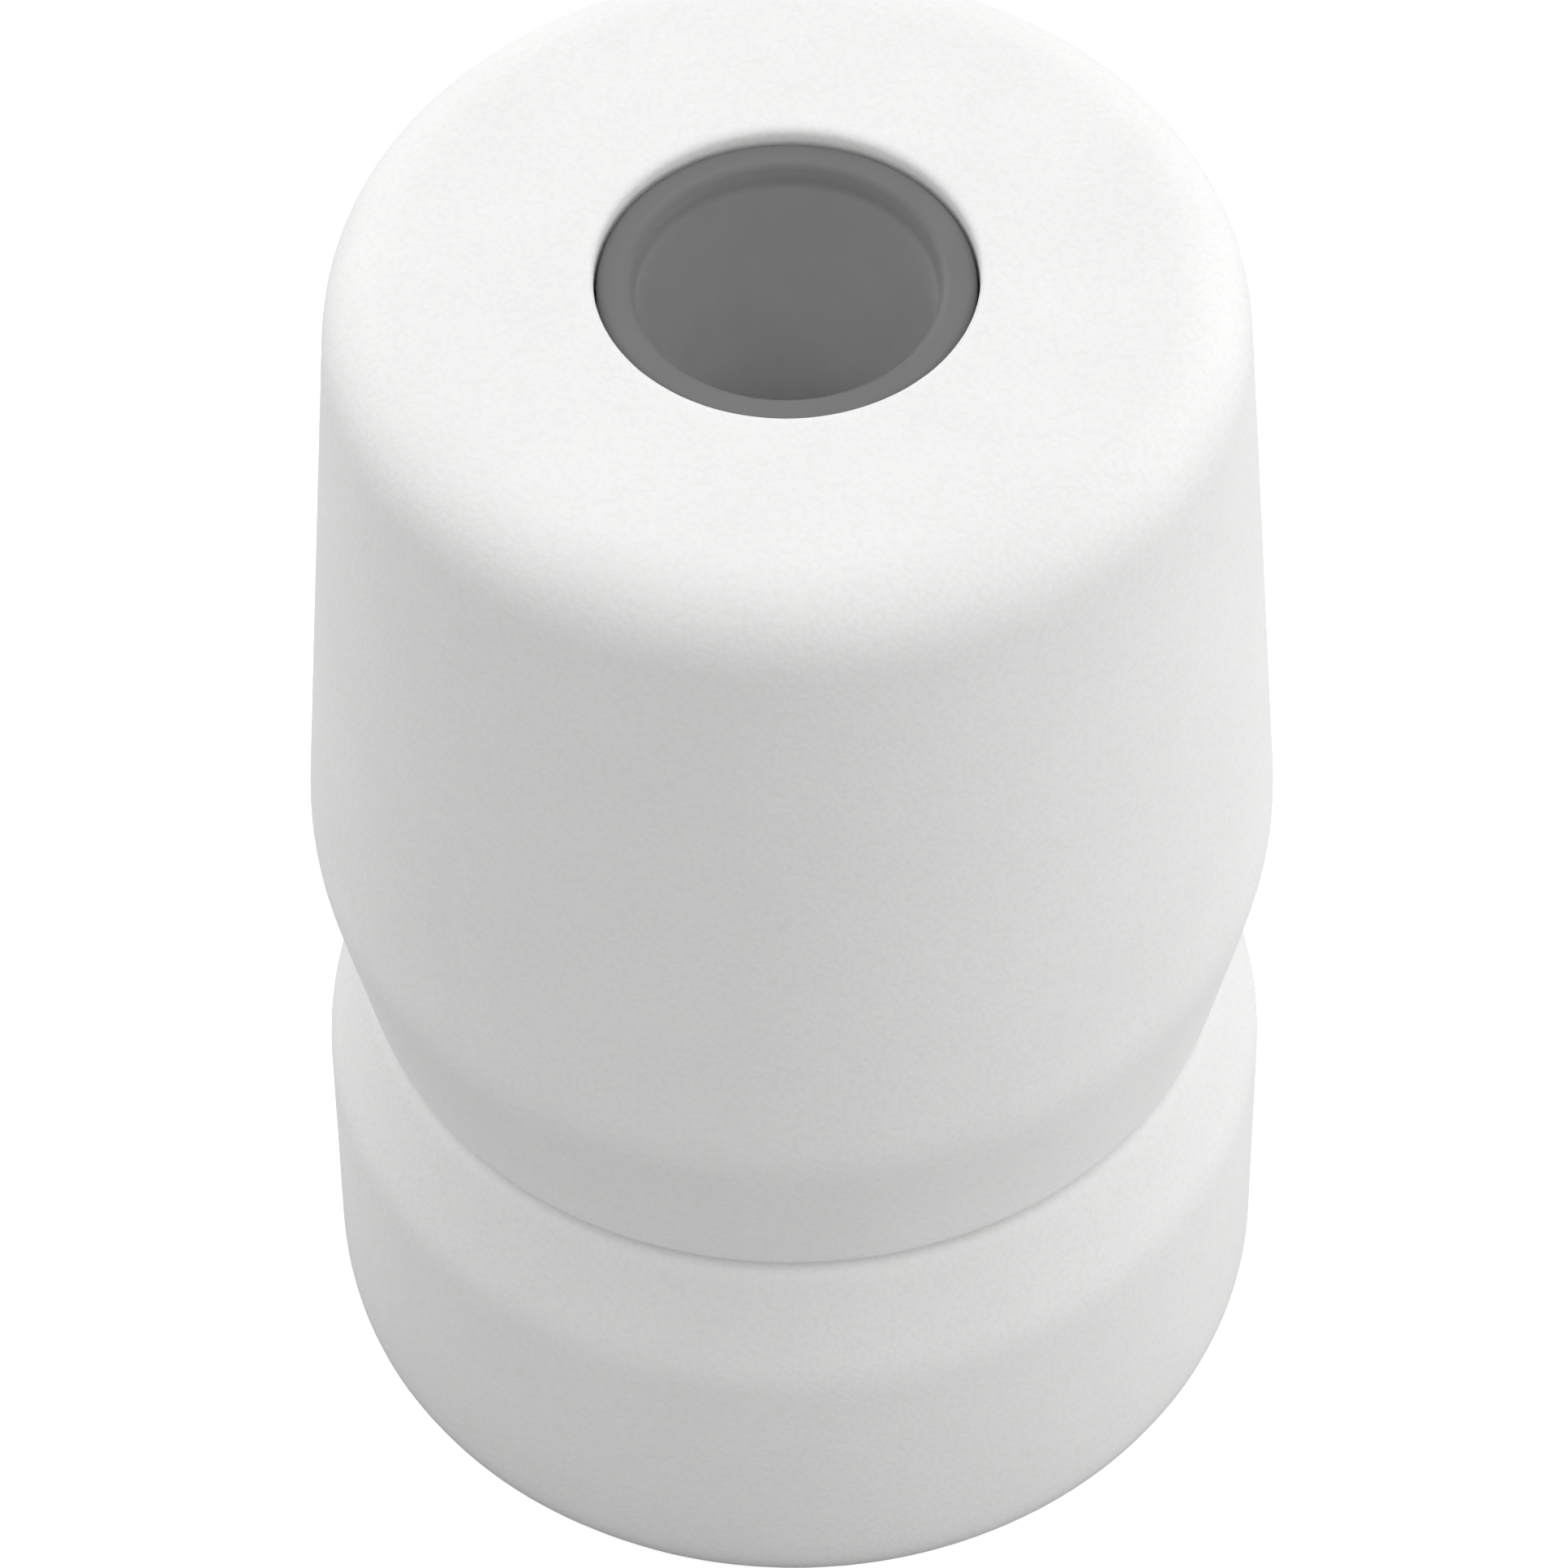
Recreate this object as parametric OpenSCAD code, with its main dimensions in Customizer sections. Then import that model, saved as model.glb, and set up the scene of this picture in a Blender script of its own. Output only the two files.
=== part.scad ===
// Push-in exhaust muffler for a plastic air tube.
// The tube plugs into the socket in the top. The air passes a perforated tube and felt,
// and leaves through the pores of the two white shells. The base cap pulls off downwards.
// Origin: centre of the flat bottom face. +Z is the axis, up towards the tube socket.

/* [Body] */
// Overall height, from the bottom face to the top face
body_h = 32; // [32:0.5:38]
// Diameter where the upper shell is widest
belly_d = 21; // [20.4:0.1:22.6]
// Diameter at which the upper shell's flank would meet the top face
top_d = 18.9; // [18.4:0.1:20]
// Diameter at the bottom of the finger groove, where the two shells meet
neck_d = 19; // [18.6:0.1:19.8]
// Diameter of the base cap's side
base_d = 20.8; // [20.2:0.1:22.6]
// Rounding of the top edge
top_edge_r = 1.6; // [0.8:0.1:2]
// Rounding of the bottom edge
bottom_edge_r = 1; // [0.4:0.1:1.6]
// Clear gap between the two shells at the groove
parting_gap = 0.12; // [0.08:0.01:0.2]

/* [Heights] */
// Height of the joint between base cap and upper shell
parting_z = 10.6; // [10.2:0.1:11]
// Height where the base cap's side turns into the groove
shoulder_z = 7.7; // [7:0.1:8.4]
// Height where the upper shell is widest
belly_z = 15.5; // [15:0.1:17.5]

/* [Tube socket] */
// Outer diameter of the tube that plugs in
tube_d = 6; // [5.9:0.05:6.1]
// Clearance all round the tube
tube_gap = 0.1; // [0.06:0.01:0.12]
// Rounding of the rim round the mouth
mouth_edge_r = 0.2; // [0.2:0.1:0.8]
// Travel of the release sleeve
release_travel = 0.8; // [0.4:0.1:0.9]
// Number of teeth on the grab ring
grab_teeth = 8; // [6:1:12]

/* [Silencing pack] */
// Number of felt rings in the stack
felt_count = 4; // [2:1:6]
// Number of rows of holes in the diffuser tube
diffuser_rows = 5; // [3:1:6]
// Diameter of the diffuser's holes
diffuser_hole_d = 0.9; // [0.5:0.1:1.1]
// Number of air windows in the socket body's flange
window_count = 8; // [6:1:10]

/* [Hidden] */

$fn = 96;
arc_step = 9;      // degrees between the points of a round stretch
run_gap = 0.05;    // clearance between pieces that sit in each other
sit_gap = 0.02;    // clearance between pieces that rest on each other
over = 1;          // how far a cutter runs past what it cuts

// Tube socket, from the mouth down
bore_r = tube_d / 2 + tube_gap;
sleeve_r = 3.9;
mouth_r = sleeve_r + run_gap;
sleeve_top_z = body_h - 0.3;
lip_z = body_h - 5.2;          // underside of the shell's lip over the cartridge
cartridge_r = 6.1;
guide_h = 3.1;
guide_z = lip_z - guide_h;
hook_r = 4.5;
hook_h = 0.6;
guide_pocket_h = release_travel + hook_h + 0.2;
hook_z = guide_z + guide_pocket_h - run_gap - hook_h;
grab_t = 0.3;
grab_z = guide_z - grab_t - sit_gap;
grab_tip_r = tube_d / 2 - 0.1;
grab_root_r = 4.6;
grab_drop = 1.2;               // how far the teeth dip below the ring
cup_r = 4.95;
cup_z = grab_z - sit_gap;      // rim of the socket body's cup
gland_h = 2;
gland_z = cup_z - 4.7;         // floor of the tube seal's gland
stop_z = gland_z - 2.5;        // tube stop
stop_r = 2.2;
diffuser_seat_z = stop_z - 0.8;

// Upper shell
belly_bend_r = 4;                // how gently the flank turns at the widest point
counterbore_r = 8.4;
flange_t = 1.2;
flange_r = counterbore_r - 0.1;
spigot_r = counterbore_r - 0.1;
spigot_top_z = parting_z + 3;
flange_z = spigot_top_z + 0.2;
seat_z = flange_z + flange_t + sit_gap;
chamber_r = 7.95;
chamber_top_z = cup_z - 3;
core_r = 4.7;
window_d = 1.5;
window_pitch_r = 5.6;

// Base cap
shoulder_bend_r = 1.5;
cap_floor = 2.4;
cap_bore_r = 6.6;
ring_d = 0.84;                 // thickness of the cap's O-ring
ring_groove_r = 7.5;
ring_z = parting_z + 1.6;

// Silencing pack
pad_t = 1.1;
diffuser_r = 3;
plug_z = cap_floor + pad_t + 0.3;
plug_head_t = 0.5;
diffuser_z = plug_z + plug_head_t + sit_gap;
washer_t = 0.35;
washer_z = diffuser_z + 0.15;
stack_z = washer_z + washer_t + sit_gap;
stack_top_z = flange_z - 0.15;
felt_r = 6.4;
screen_t = 0.16;
felt_bore_r = diffuser_r + run_gap + screen_t + run_gap + 0.02;

// Points of a path whose corners are rounded: each corner is [x, y, radius].
function rounded_path(corners) = [
    for (i = [0 : len(corners) - 1])
        let (n = len(corners), p = corners[i])
        for (q = p[2] > 0 ? corner_arc(corners[(i + n - 1) % n], p, corners[(i + 1) % n])
                          : [[p[0], p[1]]])
            q
];

// The arc of radius p[2] that rounds corner p on its way from corner a to corner b.
function corner_arc(a, p, b) =
    let (u = unit([a[0] - p[0], a[1] - p[1]]),
         v = unit([b[0] - p[0], b[1] - p[1]]),
         half = acos(u * v) / 2,
         cut = p[2] / tan(half),
         m = unit(u + v),
         c = [p[0], p[1]] + m * p[2] / sin(half),
         from = [p[0], p[1]] + u * cut - c,
         turn = 180 - 2 * half,
         way = cross(from, [p[0], p[1]] + v * cut - c) > 0 ? 1 : -1,
         steps = max(2, ceil(turn / arc_step)))
    [for (k = [0 : steps])
        let (t = way * turn * k / steps)
        c + [from[0] * cos(t) - from[1] * sin(t), from[0] * sin(t) + from[1] * cos(t)]];

function unit(v) = v / norm(v);

// A turned piece from its half section, given as [radius, height, corner radius].
module turned(corners) {
    rotate_extrude() polygon(rounded_path(corners));
}

// A plain ring between two radii and two heights.
module ring(r_in, r_out, z, h) {
    translate([0, 0, z])
        difference() {
            cylinder(r = r_out, h = h);
            translate([0, 0, -over]) cylinder(r = r_in, h = h + 2 * over);
        }
}

// Copies of a piece round the axis.
module around(count, start = 0) {
    for (i = [0 : count - 1])
        rotate([0, 0, start + i * 360 / count]) children();
}

// Sintered upper shell: tapers to the top, with a rounded mouth and a lip over the cartridge.
module porous_shell() {
    bottom_z = parting_z + parting_gap;
    color([0.93, 0.93, 0.92])
        turned([
            [counterbore_r + 0.25, bottom_z, 0],
            [neck_d / 2, bottom_z, 0],
            [belly_d / 2, belly_z, belly_bend_r],
            [top_d / 2, body_h, top_edge_r],
            [mouth_r, body_h, mouth_edge_r],
            [mouth_r, lip_z, 0],
            [cartridge_r + run_gap, lip_z, 0],
            [cartridge_r + run_gap, chamber_top_z + 0.6, 0],
            [chamber_r, chamber_top_z - 0.6, 0.6],
            [chamber_r, seat_z, 0],
            [counterbore_r, seat_z, 0],
            [counterbore_r, bottom_z + 0.25, 0]
        ]);
}

// Sintered base cap: a thick cup with a spigot that pushes up into the shell.
module base_cap() {
    dimple_r = 4;
    dimple_depth = 0.3;
    color([0.93, 0.93, 0.92])
        difference() {
            turned([
                [0, 0, 0],
                [base_d / 2, 0, bottom_edge_r],
                [base_d / 2, shoulder_z, shoulder_bend_r],
                [neck_d / 2, parting_z, 0],
                [spigot_r, parting_z, 0],
                [spigot_r, spigot_top_z - 0.5, 0],
                [spigot_r - 0.35, spigot_top_z, 0],
                [cap_bore_r, spigot_top_z, 0],
                [cap_bore_r, cap_floor, 0.5],
                [0, cap_floor, 0]
            ]);
            ring(ring_groove_r, spigot_r + over, ring_z - 0.5, 1);
            translate([0, 0, -over]) cylinder(r = dimple_r, h = over + dimple_depth);
        }
}

// A rubber ring of round section.
module o_ring(inner_r, thickness, z) {
    translate([0, 0, z])
        rotate_extrude()
            translate([inner_r + thickness / 2, 0])
                circle(d = thickness);
}

// Grips and centres the base cap in the shell.
module cap_o_ring() {
    color([0.05, 0.05, 0.05]) o_ring(ring_groove_r + sit_gap, ring_d, ring_z);
}

// Seals on the tube.
module tube_o_ring() {
    thickness = 1.9;
    color([0.05, 0.05, 0.05])
        o_ring(tube_d / 2 - 0.1, thickness, gland_z + gland_h / 2);
}

// Moulded core: cup for the seal and grab ring, tube stop, and a flange with air windows.
module socket_body() {
    head_z = gland_z - 1.6;
    barb_pitch = 0.9;
    color([0.3, 0.31, 0.32])
        difference() {
            union() {
                turned([
                    [diffuser_r, flange_z, 0],
                    [flange_r, flange_z, 0.2],
                    [flange_r, flange_z + flange_t, 0.2],
                    [core_r, flange_z + flange_t, 0.4],
                    [core_r, head_z, 0],
                    [cartridge_r - 0.15, head_z + 1.2, 0.5],
                    [cartridge_r - 0.15, cup_z, 0.15],
                    [cup_r, cup_z, 0],
                    [cup_r, gland_z, 0],
                    [bore_r, gland_z, 0],
                    [bore_r, stop_z, 0],
                    [stop_r, stop_z, 0],
                    [stop_r, diffuser_seat_z, 0],
                    [diffuser_r, diffuser_seat_z, 0]
                ]);
                // Barbs that hold the core in the shell.
                for (i = [0 : 1])
                    translate([0, 0, cup_z - 0.7 - i * barb_pitch])
                        rotate_extrude()
                            polygon([[cup_r + 0.3, -0.3], [cartridge_r - 0.2, -0.3],
                                     [cartridge_r + run_gap - sit_gap, -0.3],
                                     [cartridge_r - 0.2, 0.35], [cup_r + 0.3, 0.35]]);
            }
            around(window_count)
                translate([window_pitch_r, 0, flange_z - over])
                    cylinder(d = window_d, h = flange_t + 2 * over);
        }
}

// Release sleeve: pressed in, its tip spreads the grab ring's teeth and frees the tube.
module release_sleeve() {
    tip_z = guide_z - 0.55 + release_travel;
    color([0.36, 0.37, 0.38])
        turned([
            [bore_r, tip_z, 0.1],
            [sleeve_r - 0.35, tip_z, 0.1],
            [sleeve_r - 0.2, hook_z, 0],
            [hook_r, hook_z, 0.12],
            [hook_r, hook_z + hook_h, 0],
            [sleeve_r, hook_z + hook_h, 0],
            [sleeve_r, sleeve_top_z, 0.2],
            [bore_r, sleeve_top_z, 0.35]
        ]);
}

// Brass ring that guides the release sleeve, stops its hook and clamps the grab ring.
module collet_guide() {
    color([0.78, 0.66, 0.4])
        turned([
            [hook_r + 0.1, guide_z, 0],
            [cartridge_r, guide_z, 0.2],
            [cartridge_r, lip_z - sit_gap, 0.3],
            [mouth_r, lip_z - sit_gap, 0.15],
            [mouth_r, guide_z + guide_pocket_h, 0],
            [hook_r + 0.1, guide_z + guide_pocket_h, 0]
        ]);
}

// Spring-steel ring whose teeth dip inwards and bite on the tube.
module grab_ring() {
    slot_w = 0.7;
    rim_r = cartridge_r - 0.2;
    color([0.72, 0.73, 0.74])
        difference() {
            turned([
                [grab_root_r, grab_z, 0],
                [rim_r, grab_z, 0],
                [rim_r, grab_z + grab_t, 0],
                [grab_root_r, grab_z + grab_t, 0],
                [grab_tip_r, grab_z + grab_t - grab_drop, 0],
                [grab_tip_r, grab_z - grab_drop, 0]
            ]);
            around(grab_teeth)
                translate([0, -slot_w / 2, grab_z - grab_drop - over])
                    cube([grab_root_r + 0.1, slot_w, grab_drop + grab_t + 2 * over]);
        }
}

// Spacer between seal and grab ring, coned so that the teeth can flex.
module spacer_ring() {
    bottom_z = gland_z + gland_h + sit_gap;
    top_z = grab_z - 0.1;
    color([0.85, 0.84, 0.8])
        turned([
            [bore_r, bottom_z, 0],
            [cup_r - run_gap, bottom_z, 0],
            [cup_r - run_gap, top_z, 0],
            [cup_r - 0.2, top_z, 0],
            [bore_r, top_z - 1.75, 0]
        ]);
}

// Perforated tube that spreads the air through the felt.
module diffuser_tube() {
    holes_per_row = 6;
    first_row_z = stack_z + 0.8;
    row_pitch = (stack_top_z - 0.8 - first_row_z) / (diffuser_rows - 1);
    top_z = diffuser_seat_z - sit_gap;
    color([0.88, 0.88, 0.84])
        difference() {
            ring(stop_r, diffuser_r - sit_gap, diffuser_z, top_z - diffuser_z);
            for (row = [0 : diffuser_rows - 1])
                translate([0, 0, first_row_z + row * row_pitch])
                    around(holes_per_row / 2, start = (row % 2) * 180 / holes_per_row)
                        rotate([90, 0, 0])
                            cylinder(d = diffuser_hole_d, h = 2 * diffuser_r + 2 * over,
                                     center = true);
        }
}

// Plug pressed into the diffuser's lower end.
module diffuser_plug() {
    shank_r = stop_r - sit_gap;
    shank_h = 0.8;
    head_top_z = plug_z + plug_head_t;
    color([0.88, 0.88, 0.84])
        turned([
            [0, plug_z, 0],
            [diffuser_r - sit_gap, plug_z, 0.2],
            [diffuser_r - sit_gap, head_top_z, 0],
            [shank_r, head_top_z, 0],
            [shank_r, head_top_z + shank_h, 0.2],
            [0, head_top_z + shank_h, 0]
        ]);
}

// Fine wire cloth round the diffuser that keeps loose fibres out of the holes.
module screen_sleeve() {
    inner_r = diffuser_r + run_gap;
    color([0.62, 0.63, 0.64])
        ring(inner_r, inner_r + screen_t, stack_z, stack_top_z - stack_z);
}

// Stack of punched felt rings round the screen.
module felt_rings() {
    gap = 0.1;
    pitch = (stack_top_z - stack_z + gap) / felt_count;
    color([0.8, 0.77, 0.7])
        for (i = [0 : felt_count - 1])
            ring(felt_bore_r, felt_r, stack_z + i * pitch, pitch - gap);
}

// Star washer pushed onto the diffuser's end, which holds the felt stack up.
module stack_washer() {
    notch_w = 0.9;
    notch_out_r = 4.1;
    teeth = 6;
    color([0.72, 0.73, 0.74])
        difference() {
            ring(diffuser_r, 6, washer_z, washer_t);
            around(teeth)
                translate([0, -notch_w / 2, washer_z - over])
                    cube([notch_out_r, notch_w, washer_t + 2 * over]);
        }
}

// Felt sleeve in the upper chamber, round the socket body.
module upper_felt_sleeve() {
    bottom_z = flange_z + flange_t + 0.15;
    top_z = chamber_top_z - 0.75;
    color([0.8, 0.77, 0.7])
        ring(cartridge_r + 0.2, chamber_r - 0.1, bottom_z, top_z - bottom_z);
}

// Felt disc on the floor of the base cap.
module end_felt_pad() {
    color([0.8, 0.77, 0.7])
        translate([0, 0, cap_floor + sit_gap])
            cylinder(r = cap_bore_r - 0.55, h = pad_t);
}

porous_shell();
base_cap();
cap_o_ring();
socket_body();
release_sleeve();
collet_guide();
grab_ring();
spacer_ring();
tube_o_ring();
diffuser_tube();
diffuser_plug();
screen_sleeve();
felt_rings();
stack_washer();
upper_felt_sleeve();
end_felt_pad();
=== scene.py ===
"""Looks of a push-in pneumatic muffler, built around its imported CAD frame.

Lengths are in metres. A half section is a list of (radius, height) points, read from the CAD
node's own rest mesh, so every turned piece here keeps the size and place that the CAD gives it.
"""
import math
import random

import bpy
import numpy as np
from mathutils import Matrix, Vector, noise


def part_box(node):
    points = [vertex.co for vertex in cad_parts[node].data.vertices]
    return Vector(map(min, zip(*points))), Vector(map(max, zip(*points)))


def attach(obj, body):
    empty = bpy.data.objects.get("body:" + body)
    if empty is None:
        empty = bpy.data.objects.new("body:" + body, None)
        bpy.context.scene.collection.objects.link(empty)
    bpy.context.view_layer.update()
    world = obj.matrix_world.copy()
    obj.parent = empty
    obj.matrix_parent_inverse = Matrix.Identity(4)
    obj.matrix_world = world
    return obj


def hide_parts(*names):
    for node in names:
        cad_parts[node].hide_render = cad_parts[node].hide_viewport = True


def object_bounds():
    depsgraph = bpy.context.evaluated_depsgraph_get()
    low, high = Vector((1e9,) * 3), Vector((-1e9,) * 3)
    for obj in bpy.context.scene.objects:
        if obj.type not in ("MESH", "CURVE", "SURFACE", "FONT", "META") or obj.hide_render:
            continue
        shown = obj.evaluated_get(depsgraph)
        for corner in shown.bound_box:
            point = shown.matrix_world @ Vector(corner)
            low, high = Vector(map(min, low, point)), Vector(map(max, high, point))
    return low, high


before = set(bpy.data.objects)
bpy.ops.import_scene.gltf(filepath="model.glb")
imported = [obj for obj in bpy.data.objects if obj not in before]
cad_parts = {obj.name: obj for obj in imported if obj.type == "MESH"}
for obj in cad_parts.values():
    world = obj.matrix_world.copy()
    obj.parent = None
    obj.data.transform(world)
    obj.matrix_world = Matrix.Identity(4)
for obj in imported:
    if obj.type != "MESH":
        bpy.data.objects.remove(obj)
CAD_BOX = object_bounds()

MM = 0.001
TAU = 2 * math.pi
FINE = 0.17 * MM                                # mesh spacing on the outside of a shell
SPARK = 0.004 * MM                              # depth of a spark-eroded mould's texture
HAIR = 0.9 * MM                                 # usual length of a loose felt hair
ROUND, ROUND_FELT, ROUND_SHELL = 192, 160, 400  # points round a turned piece
ROOM_LIGHT = 0.7
UPPER, BUTTON, CAP = "muffler_body", "release_button", "cap_group"
HEIGHT = CAD_BOX[1][2] - CAD_BOX[0][2]


# ---------------------------------------------------------------- sections of the CAD nodes

def section_links(node):
    """The edges of a CAD node that lie in its half plane y = 0, x > 0, as a map of neighbours."""
    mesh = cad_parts[node].data
    near = 1e-7
    links = {}
    for edge in mesh.edges:
        a, b = (mesh.vertices[i].co for i in edge.vertices)
        if max(abs(a.y), abs(b.y)) > near or min(a.x, b.x) < -near:
            continue
        p, q = ((round(v.x, 6), round(v.z, 6)) for v in (a, b))
        if p != q:
            links.setdefault(p, set()).add(q)
            links.setdefault(q, set()).add(p)
    return links


def outlines(node):
    """The half sections of a turned CAD node. An outline that ends on the axis is open there."""
    links = section_links(node)
    found = []
    while links:
        ends = sorted(p for p in links if len(links[p]) == 1)
        start = ends[0] if ends else min(links)
        path, here = [start], start
        while links.get(here):
            after = min(links[here])
            links[here].discard(after)
            links[after].discard(here)
            here = after
            path.append(here)
        links = {p: n for p, n in links.items() if n}
        closed = path[0] == path[-1]
        if closed:
            path.pop()
        else:
            path = [(0.0, path[0][1])] + path + [(0.0, path[-1][1])]
        found.append(turned_way(path, closed))
    return found


def turned_way(path, closed):
    """(points, closed) with the solid on the left, so that the faces of a turned piece look outwards."""
    around = path + path[:1]
    area = sum(a[0] * b[1] - b[0] * a[1] for a, b in zip(around, around[1:]))
    return (path if area > 0 else path[::-1]), closed


def spaced(points, closed, step):
    """Points at even spacing along an outline. step is a length, or a function of (radius, height)."""
    pts = np.array(points, float)
    ends = np.roll(pts, -1, 0) if closed else pts[1:]
    out = []
    for a, b in zip(pts, ends):
        length = np.linalg.norm(b - a)
        size = step(*((a + b) / 2)) if callable(step) else step
        count = max(1, round(length / size))
        out += [a + (b - a) * k / count for k in range(count)]
    if not closed:
        out.append(pts[-1])
    return np.array(out)


def worn(pts, closed, rounds):
    """The outline with its corners softened, a little more with each round."""
    for _ in range(rounds):
        before, after = np.roll(pts, 1, 0), np.roll(pts, -1, 0)
        if not closed:
            before[0], after[-1] = pts[0] * (-1, 1), pts[-1] * (-1, 1)
        smooth = (before + 2 * pts + after) / 4
        if not closed:
            smooth[0, 0] = smooth[-1, 0] = 0
        pts = smooth
    return pts


# ---------------------------------------------------------------- mesh building

def new_piece(name, verts, faces, material, body, slot):
    """A mesh object that rides on a CAD body; its slot argument is not used."""
    mesh = bpy.data.meshes.new(name)
    mesh.from_pydata([tuple(v) for v in verts], [], faces)
    mesh.validate()
    mesh.update()
    mesh.shade_smooth()
    mesh.materials.append(material)
    piece = bpy.data.objects.new(name, mesh)
    bpy.context.scene.collection.objects.link(piece)
    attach(piece, body)
    return piece


def revolved(pts, closed, count):
    """Vertices and faces of an outline turned round the axis."""
    angle = np.arange(count) * TAU / count
    turn = np.stack([np.cos(angle), np.sin(angle)], 1)
    verts, rows = [], []
    for r, z in pts:
        if r < 1e-9:
            rows.append([len(verts)] * count)
            verts.append((0.0, 0.0, z))
        else:
            rows.append(list(range(len(verts), len(verts) + count)))
            verts += [(r * c, r * s, z) for c, s in turn]
    faces = []
    pairs = list(zip(rows, rows[1:])) + ([(rows[-1], rows[0])] if closed else [])
    for low, high in pairs:
        for i in range(count):
            j = (i + 1) % count
            quad = [low[i], low[j], high[j], high[i]]
            ring = [v for k, v in enumerate(quad) if v not in quad[:k]]
            if len(ring) > 2:
                faces.append(ring)
    return np.array(verts), faces


def joined(parts):
    """One (vertices, faces) from several."""
    verts, faces, start = [], [], 0
    for v, f in parts:
        verts.append(v)
        faces += [[i + start for i in face] for face in f]
        start += len(v)
    return np.concatenate(verts), faces


def turned_mesh(node, step, rounds, count, reshape=None, relief=None):
    """(vertices, faces) of a turned CAD node, finely meshed. reshape changes its half section."""
    parts = []
    for points, closed in outlines(node):
        pts = worn(spaced(points, closed, step), closed, rounds)
        parts.append(revolved(reshape(pts) if reshape else pts, closed, count))
    verts, faces = joined(parts)
    if relief:
        verts = embossed(verts, faces, relief)
    return verts, faces


def turned_piece(name, node, body, slot, material, step=0.08 * MM, rounds=2, count=ROUND, **shape):
    """A turned piece that stands for a turned CAD node."""
    verts, faces = turned_mesh(node, step, rounds, count, **shape)
    piece = new_piece(name, verts, faces, material, body, slot)
    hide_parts(node)
    return piece


def tube(path, radius, sides, closed=False, taper=False):
    """(vertices, faces) of a round wire along a path of points."""
    path = np.array(path, float)
    ahead = np.roll(path, -1, 0) - np.roll(path, 1, 0)
    if not closed:
        ahead[0], ahead[-1] = path[1] - path[0], path[-1] - path[-2]
    ahead /= np.linalg.norm(ahead, axis=1, keepdims=True)
    out = path * (1, 1, 0) + (1e-9, 0, 0)
    side = np.cross(ahead, out)
    side /= np.linalg.norm(side, axis=1, keepdims=True)
    up = np.cross(ahead, side)
    size = np.full(len(path), radius)
    if taper:
        size[0] = size[-1] = radius * 0.35
    angle = np.arange(sides) * TAU / sides
    ring = side[:, None] * np.cos(angle)[:, None] + up[:, None] * np.sin(angle)[:, None]
    verts = (path[:, None] + ring * size[:, None, None]).reshape(-1, 3)
    rows = len(path)
    faces = []
    for a in range(rows if closed else rows - 1):
        b = (a + 1) % rows
        for k in range(sides):
            m = (k + 1) % sides
            faces.append([a * sides + k, a * sides + m, b * sides + m, b * sides + k])
    if not closed:
        faces += [list(range(sides))[::-1], [(rows - 1) * sides + k for k in range(sides)]]
    return verts, faces


def vertex_normals(verts, faces):
    """Unit normals of a mesh's vertices."""
    mesh = bpy.data.meshes.new("scratch")
    mesh.from_pydata([tuple(v) for v in verts], [], faces)
    mesh.update()
    out = np.zeros(len(verts) * 3, np.float32)
    mesh.vertex_normals.foreach_get("vector", out)
    bpy.data.meshes.remove(mesh)
    return out.reshape(-1, 3).astype(float)


def embossed(verts, faces, relief):
    """Vertices moved along their normals by relief(point)."""
    height = np.array([relief(Vector(v)) for v in verts])
    return verts + vertex_normals(verts, faces) * height[:, None]


def sintered_relief(point):
    """Height of the moulded bead surface: soft lumps with a low swell under them."""
    swell = noise.noise(point / (3.1 * MM)) * 0.006 * MM
    lumps = noise.noise(point / (0.3 * MM)) * 0.0032 * MM
    return swell + lumps


# ---------------------------------------------------------------- material nodes

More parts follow.
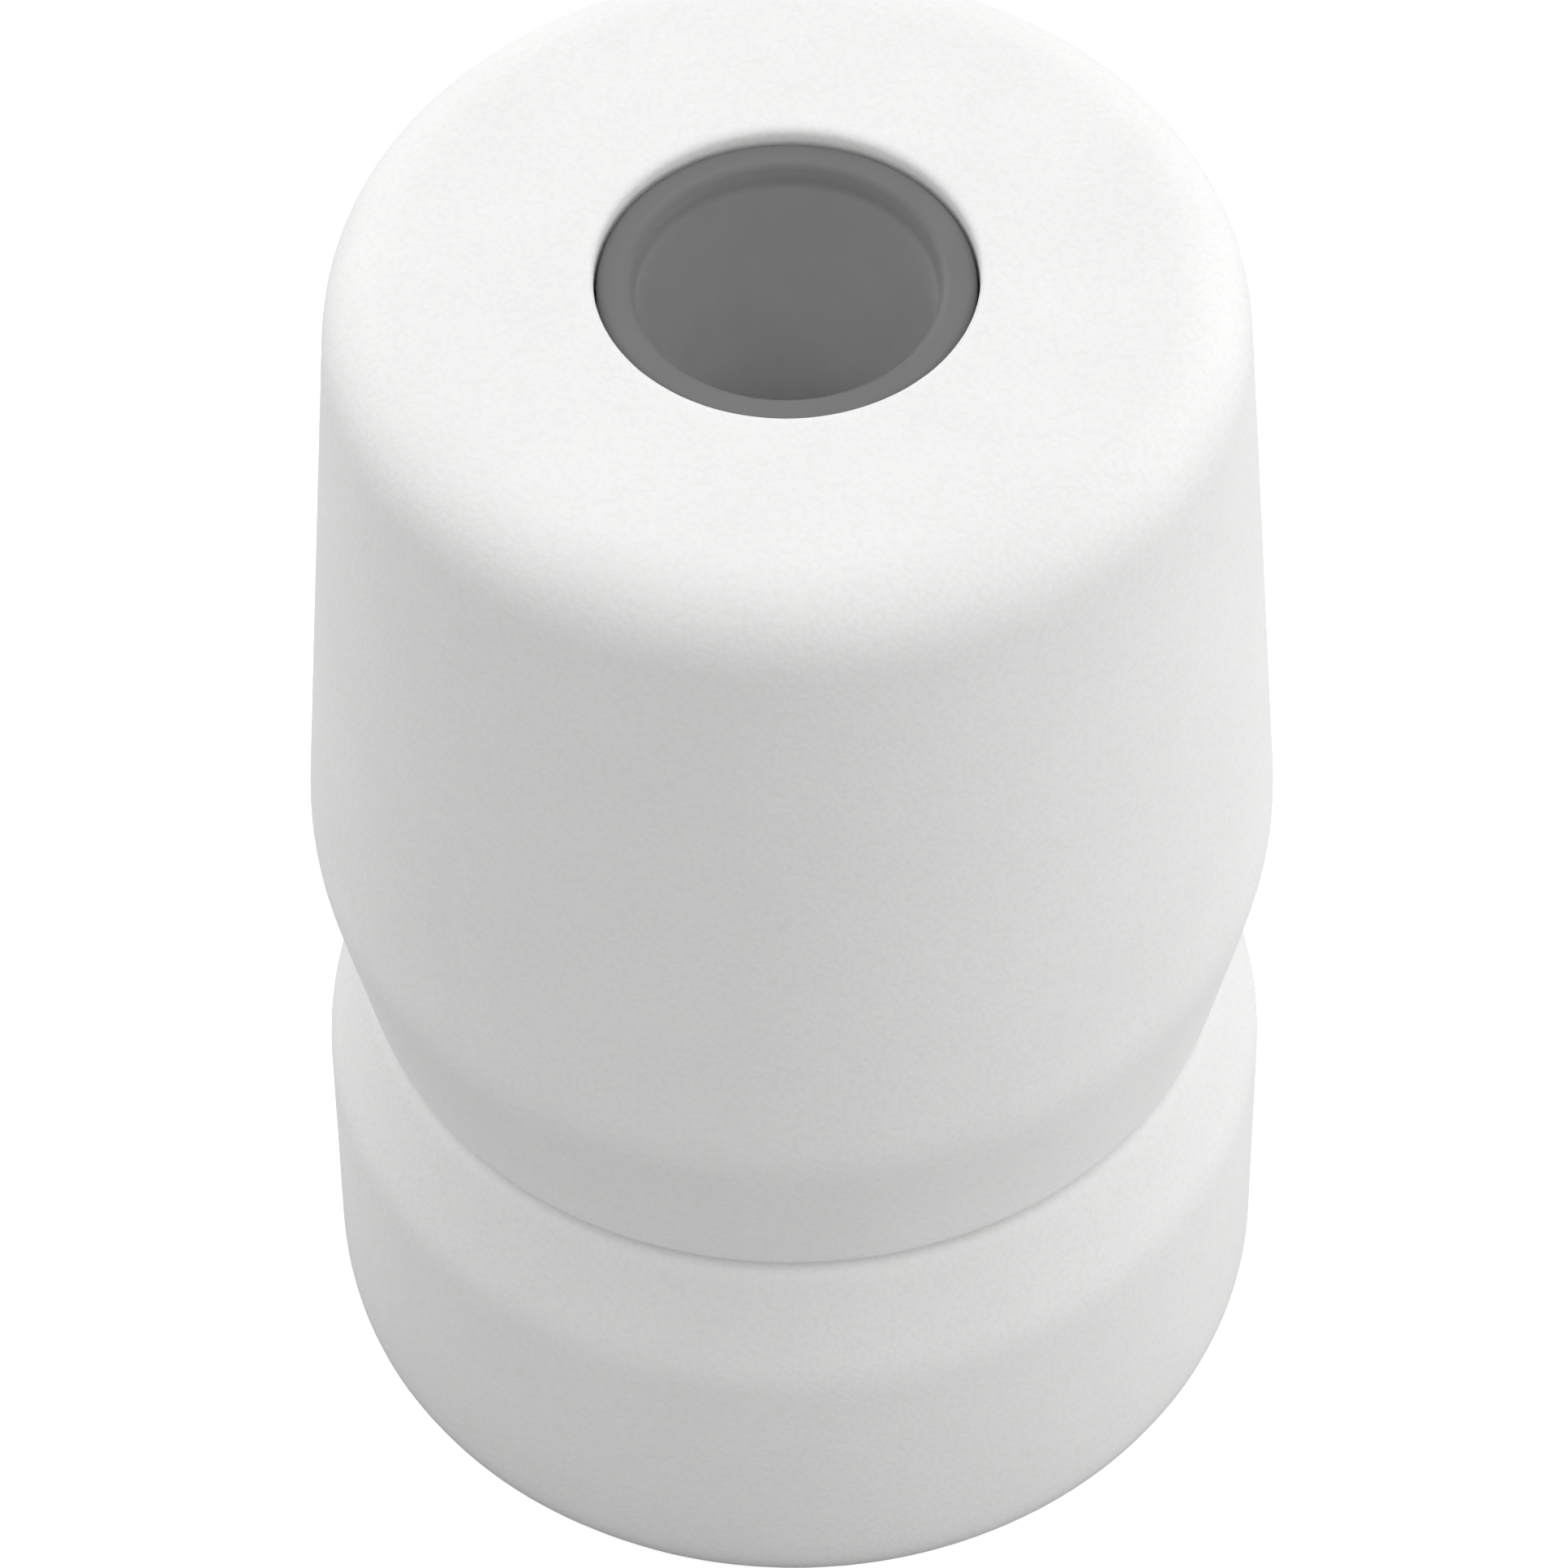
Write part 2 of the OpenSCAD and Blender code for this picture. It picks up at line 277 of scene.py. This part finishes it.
class Nodes:
    """Short calls for building one material's node tree."""

    def __init__(self, name):
        self.material = bpy.data.materials.new(name)
        self.material.use_nodes = True
        self.tree = self.material.node_tree
        self.shader = self.tree.nodes["Principled BSDF"]
        self.place = self.add("ShaderNodeTexCoord").outputs["Object"]

    def add(self, kind, **values):
        node = self.tree.nodes.new(kind)
        for key, value in values.items():
            setattr(node, key, value)
        return node

    def join(self, source, target):
        self.tree.links.new(source, target)

    def fill(self, socket, value):
        if isinstance(value, bpy.types.NodeSocket):
            self.join(value, socket)
        else:
            socket.default_value = value

    def noise(self, size, detail=3.0, rough=0.55, place=None):
        """Noise whose features measure about size metres, from 0 to 1."""
        node = self.add("ShaderNodeTexNoise")
        self.join(place or self.place, node.inputs["Vector"])
        node.inputs["Scale"].default_value = 1 / size
        node.inputs["Detail"].default_value = detail
        node.inputs["Roughness"].default_value = rough
        return node.outputs["Fac"]

    def beads(self, size):
        """Distance to the centres of packed grains of about size metres."""
        node = self.add("ShaderNodeTexVoronoi", feature="F1")
        self.join(self.place, node.inputs["Vector"])
        node.inputs["Scale"].default_value = 1 / size
        return node.outputs["Distance"]

    def spread(self, value, low, high, to_low=0.0, to_high=1.0):
        """Maps low..high to to_low..to_high, held at both ends."""
        node = self.add("ShaderNodeMapRange")
        self.join(value, node.inputs["Value"])
        for socket, number in zip(("From Min", "From Max", "To Min", "To Max"),
                                  (low, high, to_low, to_high)):
            node.inputs[socket].default_value = number
        return node.outputs["Result"]

    def blend(self, factor, a, b):
        """Colour a where factor is 0, colour b where it is 1."""
        node = self.add("ShaderNodeMix", data_type="RGBA")
        self.fill(node.inputs[0], factor)
        for socket, value in ((node.inputs[6], a), (node.inputs[7], b)):
            self.fill(socket, (*value, 1.0) if isinstance(value, tuple) else value)
        return node.outputs[2]

    def math(self, operation, a, b=0.0):
        node = self.add("ShaderNodeMath", operation=operation)
        self.fill(node.inputs[0], a)
        self.fill(node.inputs[1], b)
        return node.outputs[0]

    def bump(self, height, depth, strength):
        """A normal from a 0..1 height whose full range is depth metres."""
        node = self.add("ShaderNodeBump")
        self.join(height, node.inputs["Height"])
        node.inputs["Distance"].default_value = depth
        node.inputs["Strength"].default_value = strength
        return node.outputs["Normal"]

    def corner(self):
        """1 on edges that stand out, 0 elsewhere."""
        return self.spread(self.add("ShaderNodeNewGeometry").outputs["Pointiness"], 0.52, 0.6)

    def parts(self):
        """The x, y and z of a point."""
        split = self.add("ShaderNodeSeparateXYZ")
        self.join(self.place, split.inputs[0])
        return split.outputs

    def polar(self):
        """The distance of a point from the axis, its angle in radians and its height."""
        x, y, z = self.parts()
        square = self.math("ADD", self.math("MULTIPLY", x, x), self.math("MULTIPLY", y, y))
        return self.math("SQRT", square), self.math("ARCTAN2", y, x), z

    def vector(self, x, y, z):
        node = self.add("ShaderNodeCombineXYZ")
        for socket, value in zip(node.inputs, (x, y, z)):
            self.fill(socket, value)
        return node.outputs[0]

    def finish(self, colour, roughness, normal=None, **others):
        self.fill(self.shader.inputs["Base Color"],
                  (*colour, 1.0) if isinstance(colour, tuple) else colour)
        self.fill(self.shader.inputs["Roughness"], roughness)
        if normal:
            self.join(normal, self.shader.inputs["Normal"])
        for key, value in others.items():
            self.fill(self.shader.inputs[key.replace("_", " ")], value)
        return self.material


# ---------------------------------------------------------------- materials

def sintered_white(name, tint=(0.88, 0.88, 0.874)):
    """Sintered polyethylene: fused white beads with fine open pores between them."""
    n = Nodes(name)
    grain = n.beads(0.13 * MM)
    fine = n.noise(0.06 * MM, detail=2.0)
    patches = n.noise(3.2 * MM, detail=2.0)
    colour = n.blend(n.spread(patches, 0.3, 0.7), tuple(c * 0.975 for c in tint), tint)
    # painted shade: the gaps between the beads are coloured darker, as shade falls in their pores
    pores = n.spread(grain, 0.45, 0.75, 0.0, 0.1)
    colour = n.blend(pores, colour, tuple(c * 0.7 for c in tint))
    rubbed = n.math("MULTIPLY", n.corner(), 0.12)
    rough = n.math("SUBTRACT", n.spread(fine, 0.3, 0.7, 0.74, 0.9), rubbed)
    height = n.math("ADD", n.spread(grain, 0.0, 0.8, 1.0, 0.0), n.math("MULTIPLY", fine, 0.4))
    return n.finish(colour, rough, n.bump(height, 0.012 * MM, 0.45), Subsurface_Weight=0.15,
                    Subsurface_Radius=(0.6 * MM, 0.55 * MM, 0.5 * MM), Subsurface_Scale=1.0)


def moulded_plastic(name, colour, rough=0.45):
    """Injection-moulded plastic: fine spark texture, faint flow shading, edges lighter, partly rubbed
    and partly a painted edge highlight.
    """
    n = Nodes(name)
    texture = n.noise(0.05 * MM)
    cloud = n.noise(1.8 * MM, detail=2.0)
    dark, light, rubbed = (tuple(min(1.0, c * k) for c in colour) for k in (0.94, 1.06, 1.3))
    shade = n.blend(n.spread(cloud, 0.3, 0.7), dark, light)
    # edges lighter in colour: rubbing wear together with a painted edge highlight
    shade = n.blend(n.math("MULTIPLY", n.corner(), 0.35), shade, rubbed)
    roughness = n.spread(texture, 0.25, 0.75, rough - 0.07, rough + 0.1)
    return n.finish(shade, roughness, n.bump(texture, SPARK, 0.6), Subsurface_Weight=0.2,
                    Subsurface_Radius=(0.8 * MM, 0.75 * MM, 0.6 * MM), Subsurface_Scale=1.0)


def acetal_painted_bore_light(name, rim_z):
    """Grey acetal with painted light: painted shade darkens the rim that fingers press, and it is
    painted paler deep in the bore to lift the shade there.
    """
    n = Nodes(name)
    texture = n.noise(0.05 * MM)
    cloud = n.noise(1.8 * MM, detail=2.0)
    depth = n.math("SUBTRACT", rim_z, n.parts()[2])
    # painted light: the grey rises with depth below the rim, dark on the lit rim and pale deep in the
    # bore where shade falls
    tone = n.spread(depth, 0.12 * MM, 0.6 * MM, 0.155, 0.41)
    tone = n.math("ADD", tone, n.spread(depth, 0.6 * MM, 5.5 * MM, 0.0, 0.4))
    tone = n.math("MULTIPLY", tone, n.spread(cloud, 0.3, 0.7, 0.97, 1.03))
    normal = n.bump(texture, SPARK, 0.6)
    return n.finish(n.vector(tone, tone, tone), n.spread(texture, 0.25, 0.75, 0.45, 0.6), normal)


def filled_nylon(name, colour):
    """Glass-filled nylon: short pale fibres that show in a dull dark surface."""
    n = Nodes(name)
    x, y, z = n.parts()
    fibres = n.noise(0.045 * MM, place=n.vector(n.math("MULTIPLY", x, 0.25), y, z))
    cloud = n.noise(1.4 * MM, detail=2.0)
    dark, light, fleck = (tuple(min(1.0, c * k) for c in colour) for k in (0.9, 1.1, 1.8))
    shade = n.blend(n.spread(cloud, 0.3, 0.7), dark, light)
    shade = n.blend(n.spread(fibres, 0.62, 0.72, 0.0, 0.5), shade, fleck)
    return n.finish(shade, n.spread(fibres, 0.3, 0.7, 0.62, 0.5), n.bump(fibres, 0.004 * MM, 0.6))


def turned_brass(name):
    """Brass with fine tool rings, a little duller in patches."""
    n = Nodes(name)
    radius, _, z = n.polar()
    rings = n.noise(0.025 * MM, detail=2.0, place=n.vector(radius, 0.0, z))
    tarnish = n.spread(n.noise(1.2 * MM), 0.45, 0.75)
    colour = n.blend(tarnish, (0.80, 0.62, 0.32), (0.56, 0.41, 0.2))
    roughness = n.math("ADD", n.spread(rings, 0.3, 0.7, 0.22, 0.36), n.math("MULTIPLY", tarnish, 0.15))
    return n.finish(colour, roughness, n.bump(rings, 0.0015 * MM, 0.7), Metallic=1.0)


def rolled_steel(name, tone=0.66):
    """Stainless strip or wire with fine rolling lines and brighter sheared edges."""
    n = Nodes(name)
    x, y, z = n.parts()
    lines = n.noise(0.03 * MM, detail=2.0, place=n.vector(n.math("MULTIPLY", x, 0.04), y, z))
    cloud = n.noise(1.5 * MM, detail=2.0)
    dark, light = (tone * 0.88, tone * 0.89, tone * 0.9), (tone, tone * 1.01, tone * 1.02)
    colour = n.blend(n.spread(cloud, 0.3, 0.7), dark, light)
    colour = n.blend(n.math("MULTIPLY", n.corner(), 0.5), colour, (0.85, 0.86, 0.87))
    return n.finish(colour, n.spread(lines, 0.3, 0.7, 0.22, 0.4), n.bump(lines, 0.0012 * MM, 0.6),
                    Metallic=1.0)


def nitrile_rubber(name):
    """Dull black rubber with a faint grey bloom."""
    n = Nodes(name)
    skin = n.noise(0.04 * MM)
    bloom = n.spread(n.noise(0.9 * MM), 0.5, 0.8, 0.0, 0.6)
    colour = n.blend(bloom, (0.022, 0.022, 0.023), (0.07, 0.07, 0.072))
    roughness = n.math("ADD", n.spread(skin, 0.3, 0.7, 0.45, 0.6), n.math("MULTIPLY", bloom, 0.25))
    return n.finish(colour, roughness, n.bump(skin, 0.002 * MM, 0.6))


def wool_felt(name):
    """Needled wool felt: matted fibres, cream with darker and lighter hairs."""
    n = Nodes(name)
    hairs = n.noise(0.06 * MM, detail=4.0, rough=0.7)
    mats = n.noise(0.5 * MM, detail=3.0)
    cloud = n.noise(2.2 * MM, detail=2.0)
    colour = n.blend(n.spread(cloud, 0.3, 0.7), (0.66, 0.62, 0.53), (0.76, 0.72, 0.63))
    colour = n.blend(n.spread(hairs, 0.55, 0.75, 0.0, 0.5), colour, (0.86, 0.83, 0.76))
    colour = n.blend(n.spread(mats, 0.55, 0.75, 0.0, 0.4), colour, (0.5, 0.46, 0.38))
    height = n.math("ADD", hairs, n.math("MULTIPLY", mats, 0.7))
    return n.finish(colour, n.spread(hairs, 0.3, 0.7, 0.88, 1.0), n.bump(height, 0.03 * MM, 0.7),
                    Sheen_Weight=0.35, Sheen_Roughness=0.5)


# ---------------------------------------------------------------- the pieces

def shells(white):
    """The two sintered shells, meshed finely on the outside: beyond the radius of their inner
    walls, and on top.
    """
    turned_piece("upper_shell", "porous_shell", UPPER, "shell_white", white,
                 step=lambda r, z: FINE if r > 8.7 * MM or z > 26.5 * MM else 0.45 * MM,
                 rounds=4, count=ROUND_SHELL, relief=sintered_relief)
    turned_piece("base_shell", "base_cap", CAP, "cap_white", white,
                 step=lambda r, z: FINE if r > 8.2 * MM else 0.4 * MM,
                 rounds=4, count=ROUND_SHELL, relief=sintered_relief)


def flashed(pts):
    """The round section of a rubber ring, with the thin mould flash on its inner and outer side."""
    middle = (pts.max(0) + pts.min(0)) / 2
    size = (pts.max(0) - pts.min(0))[1]
    ridge = np.exp(-(((pts[:, 1] - middle[1]) / (0.035 * size)) ** 2)) * 0.022 * size
    pts[:, 0] += np.sign(pts[:, 0] - middle[0]) * ridge
    return pts


def seals(rubber):
    turned_piece("cap_seal", "cap_o_ring", CAP, "seal_black", rubber, step=0.025 * MM, rounds=1,
                 reshape=flashed)
    turned_piece("tube_seal", "tube_o_ring", UPPER, "seal_black", rubber, step=0.04 * MM, rounds=1,
                 reshape=flashed)


def crowned(pts):
    """The section of a felt piece whose flat sides swell a little between their edges."""
    low, high = pts.min(0), pts.max(0)
    across = np.clip((pts - low) / (high - low), 0, 1)
    swell = 4 * across * (1 - across)
    away = np.where(across > 0.5, 1, -1) * (np.abs(across - 0.5) > 0.4)
    solid = pts[:, 0] > low[0] + 1e-9 if low[0] > 1e-9 else pts[:, 0] > 0
    pts[:, 0] += away[:, 0] * swell[:, 1] * 0.06 * MM * solid
    pts[:, 1] += away[:, 1] * (0.4 + 0.6 * swell[:, 0]) * 0.02 * MM
    return pts


def matted(point):
    """Height of the felt's lumpy surface."""
    return (noise.noise(point / (1.3 * MM)) * 0.035 + noise.noise(point / (0.35 * MM)) * 0.03) * MM


def fibres(verts, faces, count, draw):
    """Loose hairs that lie on a felt surface with their ends lifting off it."""
    normals = vertex_normals(verts, faces)
    hairs = []
    for _ in range(count):
        k = draw.randrange(len(verts))
        root, up = Vector(verts[k]), Vector(normals[k])
        along = up.cross(Vector([draw.uniform(-1, 1) for _ in range(3)])).normalized()
        bend = up.cross(along) * draw.uniform(-0.5, 0.5)
        length = HAIR * draw.uniform(0.4, 1.2)
        lift = draw.uniform(0.02, 0.12) * MM
        path = []
        for t in (-0.5, -0.2, 0.1, 0.35, 0.5):
            flat = along * (t * length) + bend * (t * t * length)
            path.append(root + flat + up * (lift * (t * 2) ** 2 + 0.01 * MM))
        hairs.append(tube(path, 0.011 * MM, 3, taper=True))
    return hairs


def felt_piece(name, node, body, material, hairs, seed):
    """A felt punching with a swelling section, a matted surface and loose hairs."""
    verts, faces = turned_mesh(node, 0.2 * MM, 2, ROUND_FELT, reshape=crowned, relief=matted)
    loose = fibres(verts, faces, hairs, random.Random(seed))
    piece = new_piece(name, *joined([(verts, faces)] + loose), material, body, "felt")
    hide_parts(node)


def felts(material):
    felt_piece("felt_ring_stack", "felt_rings", UPPER, material, hairs=3600, seed=11)
    felt_piece("felt_sleeve_upper", "upper_felt_sleeve", UPPER, material, hairs=1800, seed=12)
    felt_piece("felt_pad_end", "end_felt_pad", CAP, material, hairs=1500, seed=13)


def wire_cloth(steel):
    """Plain-woven wire cloth rolled into a sleeve: upright wires pass over and under hoops."""
    low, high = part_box("screen_sleeve")
    points = outlines("screen_sleeve")[0][0]
    inner, outer = min(p[0] for p in points), max(p[0] for p in points)
    middle = (inner + outer) / 2
    wire = (outer - inner) / 4.4
    pitch = 8 * wire
    uprights = 2 * round(math.pi * middle / pitch)
    hoops = int((high.z - low.z - 2 * wire) / pitch)
    pitch = (high.z - low.z - 2 * wire) / hoops
    parts = []
    for i in range(uprights):
        angle = i * TAU / uprights
        path = []
        for k in range(3 * hoops + 1):
            z = k * pitch / 3
            r = middle + wire * math.cos(math.pi * (z / pitch + i))
            path.append((r * math.cos(angle), r * math.sin(angle), low.z + wire + z))
        parts.append(tube(path, wire, 5))
    for k in range(hoops + 1):
        path = []
        for m in range(3 * uprights):
            angle = m * TAU / (3 * uprights)
            r = middle - wire * math.cos(math.pi * (k + m / 3))
            path.append((r * math.cos(angle), r * math.sin(angle), low.z + wire + k * pitch))
        parts.append(tube(path, wire, 5, closed=True))
    piece = new_piece("wire_cloth_sleeve", *joined(parts), steel, UPPER, "screen_steel")
    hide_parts("screen_sleeve")


def kept(node, material, edge):
    """A CAD node that stays, with a new material and its edges broken by a small bevel."""
    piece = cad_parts[node]
    piece.data.materials.clear()
    piece.data.materials.append(material)
    if "custom_normal" in piece.data.attributes:
        piece.data.attributes.remove(piece.data.attributes["custom_normal"])
    piece.data.shade_smooth()
    weld = piece.modifiers.new("weld", "WELD")
    weld.merge_threshold = 0.0005 * MM
    bevel = piece.modifiers.new("edge", "BEVEL")
    bevel.width = edge
    bevel.segments = 2
    bevel.limit_method = "ANGLE"
    bevel.angle_limit = math.radians(35)
    piece.modifiers.new("normals", "WEIGHTED_NORMAL").keep_sharp = True


def cartridge():
    """The push-in fitting inside the shell."""
    turned_piece("release_sleeve_moulding", "release_sleeve", BUTTON, "sleeve_grey",
                 acetal_painted_bore_light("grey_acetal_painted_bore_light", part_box("release_sleeve")[1].z))
    turned_piece("guide_ring", "collet_guide", UPPER, "guide_brass", turned_brass("brass"))
    turned_piece("cone_spacer", "spacer_ring", UPPER, "spacer_natural",
                 moulded_plastic("natural_acetal", (0.8, 0.78, 0.72)))
    kept("grab_ring", rolled_steel("spring_steel"), 0.03 * MM)
    kept("socket_body", filled_nylon("filled_nylon", (0.2, 0.21, 0.22)), 0.05 * MM)


def diffuser():
    """The perforated tube, its plug, its screen and the washer that holds the felt."""
    plastic = moulded_plastic("natural_polypropylene", (0.82, 0.82, 0.78), rough=0.4)
    kept("diffuser_tube", plastic, 0.03 * MM)
    turned_piece("plug_moulding", "diffuser_plug", UPPER, "diffuser_natural", plastic)
    wire_cloth(rolled_steel("drawn_wire", tone=0.6))
    kept("stack_washer", rolled_steel("strip_steel"), 0.04 * MM)


# ---------------------------------------------------------------- stage, light and camera

def stage_floor():
    """A wide pale floor. The camera sees it brighter than it lights the body from below, and round the
    base a painted shadow makes it bounce still less light.
    """
    half = 60 * HEIGHT
    mesh = bpy.data.meshes.new("floor")
    mesh.from_pydata([(-half, -half, 0), (half, -half, 0), (half, half, 0), (-half, half, 0)],
                     [], [(0, 1, 2, 3)])
    floor = bpy.data.objects.new("floor", mesh)
    bpy.context.scene.collection.objects.link(floor)
    n = Nodes("pale_floor")
    seen = n.add("ShaderNodeLightPath").outputs["Is Camera Ray"]
    # painted shadow: to rays other than the camera's, the floor is darker close round the base, so less
    # light bounces up onto it
    bounce_with_painted_shadow = n.spread(n.polar()[0], 0.33 * HEIGHT, 0.42 * HEIGHT, 0.1, 0.42)
    colour = n.blend(seen, n.vector(bounce_with_painted_shadow, bounce_with_painted_shadow, bounce_with_painted_shadow), (0.8, 0.8, 0.8))
    glow = n.math("MULTIPLY", seen, 0.75)
    mesh.materials.append(n.finish(colour, 0.9, Emission_Color=(1, 1, 1, 1), Emission_Strength=glow))


def softbox(name, place, target, size, power):
    """A square area light that faces a point."""
    light = bpy.data.lights.new(name, "AREA")
    light.shape = "RECTANGLE"
    light.size, light.size_y = size
    light.energy = power
    lamp = bpy.data.objects.new(name, light)
    lamp.location = place
    lamp.rotation_euler = (Vector(target) - Vector(place)).to_track_quat("-Z", "Y").to_euler()
    bpy.context.scene.collection.objects.link(lamp)


def lamps():
    """A wide lamp overhead and low ones round the sides."""
    h = HEIGHT
    middle = (0, 0, h / 2)
    softbox("top_box", (0.5 * h, 1.2 * h, 8 * h), middle, (7 * h, 7 * h), 0.18)
    softbox("right_box", (7 * h, -h, 1.2 * h), middle, (4 * h, 2 * h), 0.146)
    softbox("right_back_box", (6 * h, 5 * h, 2 * h), middle, (4 * h, 4 * h), 0.062)
    softbox("left_back_box", (-6 * h, 6 * h, 2.5 * h), middle, (4 * h, 5 * h), 0.2)
    softbox("left_box", (-6 * h, -4 * h, 2 * h), middle, (4 * h, 3 * h), 0.024)


def room():
    """An even white room. It is plain white to the camera and lights the body less than that."""
    world = bpy.data.worlds.new("room")
    bpy.context.scene.world = world
    world.use_nodes = True
    tree = world.node_tree
    back = tree.nodes["Background"]
    back.inputs["Color"].default_value = (1, 1, 1, 1)
    seen = tree.nodes.new("ShaderNodeLightPath")
    strength = tree.nodes.new("ShaderNodeMapRange")
    strength.inputs["To Min"].default_value = ROOM_LIGHT
    strength.inputs["To Max"].default_value = 1.0
    tree.links.new(seen.outputs["Is Camera Ray"], strength.inputs["Value"])
    tree.links.new(strength.outputs["Result"], back.inputs["Strength"])
    view = bpy.context.scene.view_settings
    view.view_transform = "Standard"
    view.look = "None"


def camera():
    """Looks down on the muffler from in front, far off and through a long lens."""
    elevation = math.radians(50.3)
    back = Vector((0, -math.cos(elevation), math.sin(elevation)))
    data = bpy.data.cameras.new("camera")
    data.sensor_width = 36
    data.lens = 209.6
    data.shift_x = -0.0049    # the body stands a touch right of the middle of the frame
    data.shift_y = -0.0081    # and a touch above it
    data.clip_end = 100 * HEIGHT
    eye = bpy.data.objects.new("camera", data)
    eye.location = Vector((0, 0, HEIGHT / 2)) + back * 6.2 * HEIGHT
    eye.rotation_euler = back.to_track_quat("Z", "Y").to_euler()
    eye.rotation_euler.rotate_axis("Z", math.radians(-0.58))
    bpy.context.scene.collection.objects.link(eye)
    bpy.context.scene.camera = eye


shells(sintered_white("sintered_polyethylene"))
cartridge()
seals(nitrile_rubber("nitrile_rubber"))
diffuser()
felts(wool_felt("wool_felt"))
stage_floor()
lamps()
room()
camera()
